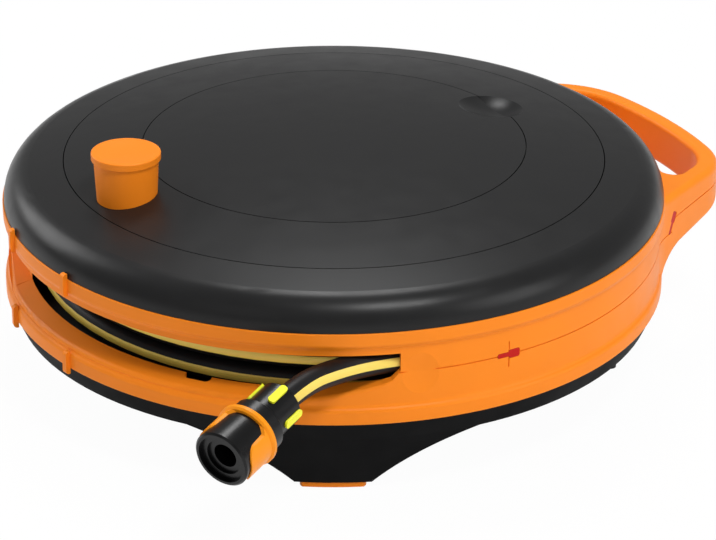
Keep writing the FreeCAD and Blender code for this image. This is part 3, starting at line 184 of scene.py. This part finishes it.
def tinted(tree, add, factor, dark, light):
    """A colour that wanders between two tones."""
    node = add("ShaderNodeMix", data_type="RGBA")
    first, second = [socket for socket in node.inputs if socket.type == "RGBA"]
    first.default_value = (*dark, 1)
    second.default_value = (*light, 1)
    tree.links.new(factor, node.inputs["Factor"])
    return next(s for s in node.outputs if s.type == "RGBA")


def plastic(name, colour, roughness, grain=0.0009, depth=0.00001, spread=0.06, specular=0.5):
    """Moulded plastic: a spark-eroded grain, a little mottling and uneven gloss."""
    material, tree, shader, add = new_material(name)
    mottle = noise(tree, add, mottle_size)
    dark = [c * (1 - spread) for c in colour]
    light = [min(1.0, c * (1 + spread)) for c in colour]
    tree.links.new(tinted(tree, add, mottle, dark, light), shader.inputs["Base Color"])
    gloss = noise(tree, add, gloss_size)
    uneven = ramp(tree, add, gloss, roughness * (1 - gloss_spread), roughness * (1 + gloss_spread))
    tree.links.new(uneven, shader.inputs["Roughness"])
    bump = add("ShaderNodeBump", Strength=1.0, Distance=depth)
    tree.links.new(noise(tree, add, grain, 1.0), bump.inputs["Height"])
    tree.links.new(bump.outputs["Normal"], shader.inputs["Normal"])
    shader.inputs["Specular IOR Level"].default_value = specular
    return material


def metal(name, colour, roughness):
    """Zinc-plated steel with a faint cloudy finish."""
    material, tree, shader, add = new_material(name)
    cloud = noise(tree, add, cloud_size)
    dark = [c * cloud_dark for c in colour]
    tree.links.new(tinted(tree, add, cloud, dark, colour), shader.inputs["Base Color"])
    tree.links.new(ramp(tree, add, cloud, roughness, roughness * cloud_rough), shader.inputs["Roughness"])
    shader.inputs["Metallic"].default_value = 1.0
    return material


orange = plastic("orange_plastic", (0.94, 0.248, 0.012), 0.42, specular=0.16)
cover_black = plastic("cover_black", (0.0125, 0.0125, 0.0128), 0.33,
                      depth=0.000008, spread=0.02, specular=0.22)
base_black = plastic("base_black", (0.004, 0.004, 0.0042), 0.6, specular=0.05)
clip_red = plastic("clip_red", (0.52, 0.008, 0.005), 0.4, specular=0.15)
inner_black = plastic("inner_black", (0.014, 0.014, 0.014), 0.55)
hose_black = plastic("hose_black", (0.006, 0.006, 0.0065), 0.45, specular=0.25)
stripe_yellow = plastic("stripe_yellow", (0.93, 0.70, 0.12), 0.42)
connector_black = plastic("connector_black", (0.003, 0.003, 0.0033), 0.30, specular=0.32)
grip_yellow = plastic("grip_yellow", (0.90, 0.90, 0.02), 0.4)
connector_orange = plastic("connector_orange", (0.94, 0.30, 0.006), 0.38, specular=0.2)
seal_rubber = plastic("seal_rubber", (0.008, 0.008, 0.008), 0.6)
bearing_plastic = plastic("bearing_plastic", (0.72, 0.72, 0.68), 0.4)
steel = metal("steel", (0.62, 0.62, 0.64), 0.3)
black_steel = metal("black_steel", (0.03, 0.03, 0.032), 0.4)

finishes = {
    orange: ("upper_casing", "lower_casing", "foot_pads", "knob_body", "knob_cap"),
    cover_black: ("top_cover", "winding_plate", "storage_lid"),
    base_black: ("base_pan",),
    clip_red: ("casing_clips",),
    inner_black: ("lower_flange", "upper_flange", "drum_core", "storage_cup", "swivel_elbow",
                  "spindle_post", "inlet_body", "inner_hose_end"),
    connector_black: ("connector_nut", "connector_body", "connector_claws", "sleeve_grip", "inlet_nipple"),
    grip_yellow: ("nut_grips",),
    connector_orange: ("sleeve_shell",),
    seal_rubber: ("swivel_seals", "inlet_seal", "connector_seal"),
    bearing_plastic: ("hub_bush", "thrust_washer", "knob_pin"),
    black_steel: ("casing_screws",),
    steel: ("spindle_screws", "drum_screws", "retaining_ring", "hose_clamp", "collar_spring"),
}
for finish, names in finishes.items():
    for name in names:
        nodes[name].data.materials.clear()
        nodes[name].data.materials.append(finish)


# Hose

def spline_line(name, corners, steps):
    """Points along a smooth line whose control points are the corners of a route."""
    curve = bpy.data.curves.new(name, "CURVE")
    curve.dimensions = "3D"
    spline = curve.splines.new("NURBS")
    spline.points.add(len(corners) - 1)
    for point, corner in zip(spline.points, corners):
        point.co = (*corner, 1)
    spline.order_u = spline_order
    spline.use_endpoint_u = True
    spline.resolution_u = steps
    line = bpy.data.objects.new(name, curve)
    mesh = bpy.data.meshes.new_from_object(line)
    points = [v.co.copy() for v in mesh.vertices]
    bpy.data.objects.remove(line)
    bpy.data.curves.remove(curve)
    bpy.data.meshes.remove(mesh)
    return points


def section_angles():
    """Angles round the hose's section, and whether the face after each is striped."""
    stripe = [(a - stripe_steps / 2) / stripe_steps * 2 * stripe_half_width for a in range(stripe_steps)]
    gap = 180.0 - 2 * stripe_half_width
    plain_steps = hose_sides - stripe_steps
    plain = [stripe_half_width + gap * i / plain_steps for i in range(plain_steps)]
    half = [(a, True) for a in stripe] + [(a, False) for a in plain]
    return half + [(a + 180.0, striped) for a, striped in half]


def striped_hose(name, points, twist):
    """A hose along a line of points, black with a yellow stripe down each side, turned by a twist."""
    section = section_angles()
    form = bmesh.new()
    rings = []
    for i, point in enumerate(points):
        along = (points[min(i + 1, len(points) - 1)] - points[max(i - 1, 0)]).normalized()
        side = along.cross(UP).normalized()
        over = side.cross(along)
        ring = []
        for angle, _ in section:
            turn = math.radians(angle + twist)
            offset = side * math.cos(turn) + over * math.sin(turn)
            ring.append(form.verts.new(point + offset * hose_diameter / 2))
        rings.append(ring)
    for near, far in zip(rings, rings[1:]):
        for i, (_, striped) in enumerate(section):
            j = (i + 1) % len(section)
            face = form.faces.new((near[i], near[j], far[j], far[i]))
            face.smooth = True
            face.material_index = int(striped)
    form.faces.new(rings[0])
    form.faces.new(reversed(rings[-1]))
    bmesh.ops.recalc_face_normals(form, faces=form.faces)
    mesh = bpy.data.meshes.new(name)
    form.to_mesh(mesh)
    form.free()
    mesh.materials.append(hose_black)
    mesh.materials.append(stripe_yellow)
    piece = bpy.data.objects.new(name, mesh)
    bpy.context.scene.collection.objects.link(piece)
    return piece


def winding_corners():
    """The outer layer's turns, with a ramp into the layer below at both ends."""
    spread = turn_radius / math.cos(math.pi / turn_points)
    steps = turn_count * turn_points
    helix = [polar(spread, turn_start - 360.0 * i / turn_points, turn_bottom + turn_pitch * i / turn_points)
             for i in range(steps + 1)]

    def ramp_down(end, before):
        heading = (end - before).normalized()
        inward = Vector((reel_axis.x - end.x, reel_axis.y - end.y, 0)).normalized()
        heading.z = 0
        heading.normalize()
        start = end + heading * hose_diameter
        turns = [math.radians(ramp_turn) * i / ramp_points for i in range(ramp_points + 1)]
        return [start + heading * ramp_radius * math.sin(a) + inward * ramp_radius * (1 - math.cos(a))
                for a in turns]

    first = ramp_down(helix[0], helix[1])
    last = ramp_down(helix[-1], helix[-2])
    return first[::-1] + helix + last


def inner_layers():
    """The layers of hose under the outer one, as a ring with the ridges of its turns."""
    low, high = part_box("hose_winding")
    ridge_count = (turn_count + 1) * ridge_points
    face = []
    for i in range(ridge_count + 1):
        rise = low[2] + (high[2] - low[2]) * i / ridge_count
        sunk = layer_ridge * abs(math.cos(math.pi * i / ridge_points))
        face.append((layer_outside - sunk, rise))
    outline = face + [(layer_inside, high[2]), (layer_inside, low[2])]
    form = bmesh.new()
    rings = [[form.verts.new(polar(radius, 360.0 * k / layer_sides, height)) for radius, height in outline]
             for k in range(layer_sides)]
    for k, ring in enumerate(rings):
        following = rings[(k + 1) % layer_sides]
        for i in range(len(outline)):
            j = (i + 1) % len(outline)
            form.faces.new((ring[i], ring[j], following[j], following[i])).smooth = True
    bmesh.ops.recalc_face_normals(form, faces=form.faces)
    mesh = bpy.data.meshes.new("hose_layers")
    form.to_mesh(mesh)
    form.free()
    mesh.materials.append(hose_black)
    piece = bpy.data.objects.new("hose_layers", mesh)
    bpy.context.scene.collection.objects.link(piece)
    return piece


def squeezed_spring():
    """A copy of the release sleeve's coil spring, fixed to the casing in place of the frame's own."""
    piece = bpy.data.objects.new("spring_coil", nodes["collar_spring"].data.copy())
    bpy.context.scene.collection.objects.link(piece)
    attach(piece, "casing")
    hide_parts("collar_spring")
    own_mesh(piece)
    return piece


hose_layers = inner_layers()
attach(hose_layers, "reel")
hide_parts("hose_core")

winding_line = spline_line("winding_line", winding_corners(), turn_steps)
hose_turns = striped_hose("hose_turns", winding_line, 0.0)
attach(hose_turns, "reel")
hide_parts("hose_winding")

connector_axis = polar(math.cos(math.radians(connector_dip)), connector_turn, 0) - polar(0, 0, 0)
connector_axis.z = -math.sin(math.radians(connector_dip))
tail_corners = [polar(radius, angle, height) for angle, radius, height in tail_route]
tail_corners.append(tail_corners[-1] + connector_axis * tail_in_nut)
tail_line = spline_line("tail_line", tail_corners, tail_steps)
spring_coil = squeezed_spring()
hose_tail = striped_hose("hose_end", tail_line, tail_twist)
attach(hose_tail, "casing")
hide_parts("hose_tail")


# Stage

def softbox(name, place, aim, size, power):
    """A square area lamp that looks at a point."""
    light = bpy.data.lights.new(name, "AREA")
    light.shape = "SQUARE"
    light.size = size
    light.energy = power
    lamp = bpy.data.objects.new(name, light)
    lamp.location = place
    lamp.rotation_euler = (Vector(aim) - Vector(place)).to_track_quat("-Z", "Y").to_euler()
    bpy.context.scene.collection.objects.link(lamp)


def floor():
    """A wide pale floor, white to the camera and in reflections, that keeps the object's shadow."""
    half = floor_half
    corners = [(x, y, floor_level) for x, y in ((-half, -half), (half, -half), (half, half), (-half, half))]
    mesh = bpy.data.meshes.new("floor")
    mesh.from_pydata(corners, [], [(0, 1, 2, 3)])
    material, tree, shader, add = new_material("floor")
    shader.inputs["Base Color"].default_value = (floor_tone, floor_tone, floor_tone, 1)
    shader.inputs["Roughness"].default_value = floor_roughness
    glow = add("ShaderNodeEmission", Strength=1.0)
    path = add("ShaderNodeLightPath")
    mirrored = add("ShaderNodeMath", operation="MAXIMUM")
    tree.links.new(path.outputs["Is Glossy Ray"], mirrored.inputs[0])
    tree.links.new(path.outputs["Is Transmission Ray"], mirrored.inputs[1])
    seen = add("ShaderNodeMath", operation="MAXIMUM")
    tree.links.new(path.outputs["Is Camera Ray"], seen.inputs[0])
    tree.links.new(mirrored.outputs[0], seen.inputs[1])
    share = add("ShaderNodeMath", operation="MULTIPLY")
    share.inputs[1].default_value = floor_glow_share
    tree.links.new(seen.outputs[0], share.inputs[0])
    mix = add("ShaderNodeMixShader")
    tree.links.new(share.outputs[0], mix.inputs[0])
    tree.links.new(shader.outputs[0], mix.inputs[1])
    tree.links.new(glow.outputs[0], mix.inputs[2])
    tree.links.new(mix.outputs[0], tree.nodes["Material Output"].inputs["Surface"])
    mesh.materials.append(material)
    piece = bpy.data.objects.new("floor", mesh)
    bpy.context.scene.collection.objects.link(piece)


def world():
    """Even light from all round."""
    scene_world = bpy.data.worlds.new("studio")
    scene_world.use_nodes = True
    tree = scene_world.node_tree
    background = tree.nodes["Background"]
    background.inputs["Color"].default_value = (1, 1, 1, 1)
    background.inputs["Strength"].default_value = world_strength
    bpy.context.scene.world = scene_world


def camera():
    """A long lens at the photograph's viewing angle."""
    data = bpy.data.cameras.new("camera")
    data.sensor_width = camera_sensor
    data.sensor_fit = "HORIZONTAL"
    data.lens = camera_lens
    heading = math.radians(camera_heading)
    pitch = math.radians(camera_pitch)
    roll = math.radians(camera_roll)
    flat = math.cos(pitch)
    ahead = Vector((flat * math.cos(heading), flat * math.sin(heading), -math.sin(pitch)))
    level = Vector((math.sin(heading), -math.cos(heading), 0))
    above = level.cross(ahead)
    right = math.cos(roll) * level + math.sin(roll) * above
    top = math.cos(roll) * above - math.sin(roll) * level
    piece = bpy.data.objects.new("camera", data)
    turn = Matrix((right, top, -ahead)).transposed().to_4x4()
    piece.matrix_world = Matrix.Translation(camera_place) @ turn
    bpy.context.scene.collection.objects.link(piece)
    bpy.context.scene.camera = piece


floor()
world()
camera()
for lamp in lamps:
    softbox(*lamp)
bpy.context.scene.view_settings.view_transform = "Standard"
